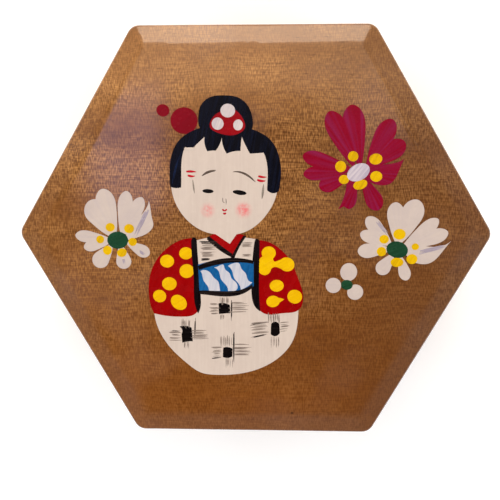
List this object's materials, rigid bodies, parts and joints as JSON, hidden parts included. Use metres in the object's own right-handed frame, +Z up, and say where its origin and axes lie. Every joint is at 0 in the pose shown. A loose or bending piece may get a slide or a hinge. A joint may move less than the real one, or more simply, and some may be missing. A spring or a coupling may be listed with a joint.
{
  "type": "hexagonal trinket box with kokeshi decoration",
  "caption": "Hexagonal wooden trinket box with a hinged, softly rounded lid that carries a painted kokeshi doll and flowers, velvet lining and a mirror under the lid.",
  "frame": {"origin": "middle of the felt sole's underside, where the box rests on a table", "axes": "+Z up, +Y towards the hinged back, +X to the right of a person facing the front; the hexagon's corners point along X and its flats face front and back"},
  "size_m": [0.1408, 0.123, 0.0536],
  "materials": {
    "chestnut": "stained and clear lacquered, glossy",
    "bead_wood": "stained, satin",
    "plywood": "plain",
    "felt": "wool felt",
    "velvet": "short pile",
    "mirror": "silvered glass",
    "card": "grey board",
    "brass": "lightly tarnished",
    "paint_cream": "brushed enamel",
    "paint_white": "brushed enamel",
    "paint_black": "brushed enamel",
    "paint_red": "brushed enamel",
    "paint_blue": "brushed enamel",
    "paint_yellow": "brushed enamel",
    "paint_green": "brushed enamel",
    "paint_crimson": "brushed enamel"
  },
  "bodies": {
    "box": {"side_front": "chestnut", "side_front_right": "chestnut", "side_back_right": "chestnut", "side_back": "chestnut", "side_back_left": "chestnut", "side_front_left": "chestnut", "base_panel": "plywood", "felt_sole": "felt", "floor_pad": "velvet", "wall_pad_front": "velvet", "wall_pad_front_right": "velvet", "wall_pad_back_right": "velvet", "wall_pad_back": "velvet", "wall_pad_back_left": "velvet", "wall_pad_front_left": "velvet", "hinge_left_box_leaf": "brass", "hinge_right_box_leaf": "brass", "hinge_left_pin": "brass", "hinge_right_pin": "brass", "box_hinge_screws": "brass"},
    "lid": {"lid_board": "chestnut", "mirror_glass": "mirror", "mirror_card": "card", "mirror_beads": "bead_wood", "hinge_left_lid_leaf": "brass", "hinge_right_lid_leaf": "brass", "lid_hinge_screws": "brass", "painted_black_edges": "paint_black", "painted_bobbles": "paint_crimson", "painted_collar": "paint_red", "painted_eyes": "paint_black", "painted_face": "paint_cream", "painted_flower_centres": "paint_green", "painted_flower_dots": "paint_yellow", "painted_hair": "paint_black", "painted_hair_cloth": "paint_red", "painted_hair_spots": "paint_white", "painted_kasuri_blocks": "paint_black", "painted_kimono": "paint_cream", "painted_red_flower_centre": "paint_white", "painted_red_petals": "paint_crimson", "painted_sash": "paint_blue", "painted_sash_waves": "paint_white", "painted_sleeve_bands": "paint_black", "painted_sleeve_dots": "paint_yellow", "painted_sleeves": "paint_red", "painted_white_petals": "paint_white"}
  },
  "joints": [
    {"name": "lid_hinge", "type": "hinge", "parent": "box", "child": "lid", "pos_m": [0, 0.0591, 0.0435], "axis": [-1, 0, 0], "range_deg": [0, 109]}
  ]
}
